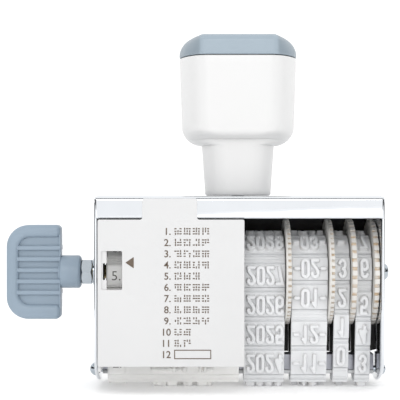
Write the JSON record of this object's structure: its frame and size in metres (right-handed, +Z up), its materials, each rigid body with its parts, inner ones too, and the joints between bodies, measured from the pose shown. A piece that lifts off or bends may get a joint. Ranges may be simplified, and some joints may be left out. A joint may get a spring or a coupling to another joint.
{
  "type": "rotary date stamp",
  "caption": "Hand stamp with a plastic handle on a chromed frame, rubber date and phrase bands on wheels, thumb discs and a side knob.",
  "frame": {"origin": "middle of the bottom of the bounding box, on the plane of the printing characters", "axes": "+X along the axle from the knob towards the thumb discs' side plate, -Y the front with the legend cover, +Z up the handle"},
  "size_m": [0.0836, 0.0268, 0.076],
  "materials": {
    "chrome_plate": "bright chrome plate on folded sheet steel",
    "zinc_steel": "bright plated steel",
    "axle_brass": "drawn brass-coloured rod",
    "handle_white": "smooth satin moulded plastic",
    "cover_white": "fine matt moulded plastic",
    "nose_white": "plain moulded plastic",
    "cap_grey_blue": "smooth satin blue-grey plastic",
    "knob_grey_blue": "fine matt blue-grey plastic",
    "wheel_cream": "cream moulded plastic with faint ink stains",
    "shield_black": "thin black-coated sheet",
    "band_rubber": "pale grey moulded rubber with a dusty bloom"
  },
  "bodies": {
    "stamp_body": {"frame": "chrome_plate", "handle": "handle_white", "handle_cap": "cap_grey_blue", "handle_screw": "zinc_steel", "handle_washer": "zinc_steel", "front_cover": "cover_white", "rear_shield": "shield_black", "phrase_band": "band_rubber", "year_band": "band_rubber", "month_band": "band_rubber", "tens_band": "band_rubber", "units_band": "band_rubber", "platen_bar": "chrome_plate", "platen_nose": "nose_white", "platen_rivet_left": "zinc_steel", "platen_rivet_right": "zinc_steel"},
    "phrase_drive": {"axle_rod": "axle_brass", "knob": "knob_grey_blue", "knob_nut": "zinc_steel", "knob_washer": "zinc_steel", "phrase_wheel": "wheel_cream"},
    "year_drive": {"year_wheel": "wheel_cream"},
    "month_drive": {"month_wheel": "wheel_cream"},
    "tens_drive": {"tens_wheel": "wheel_cream"},
    "units_drive": {"units_wheel": "wheel_cream"}
  },
  "joints": [
    {"name": "phrase_turn", "type": "hinge", "parent": "stamp_body", "child": "phrase_drive", "pos_m": [-0.0063, 0.00042, 0.0248], "axis": [1, 0, 0], "continuous": true},
    {"name": "year_turn", "type": "hinge", "parent": "stamp_body", "child": "year_drive", "pos_m": [0.0142, 0.00042, 0.0248], "axis": [1, 0, 0], "continuous": true},
    {"name": "month_turn", "type": "hinge", "parent": "stamp_body", "child": "month_drive", "pos_m": [0.0238, 0.00042, 0.0248], "axis": [1, 0, 0], "continuous": true},
    {"name": "tens_turn", "type": "hinge", "parent": "stamp_body", "child": "tens_drive", "pos_m": [0.0307, 0.00042, 0.0248], "axis": [1, 0, 0], "continuous": true},
    {"name": "units_turn", "type": "hinge", "parent": "stamp_body", "child": "units_drive", "pos_m": [0.0354, 0.00042, 0.0248], "axis": [1, 0, 0], "continuous": true}
  ]
}
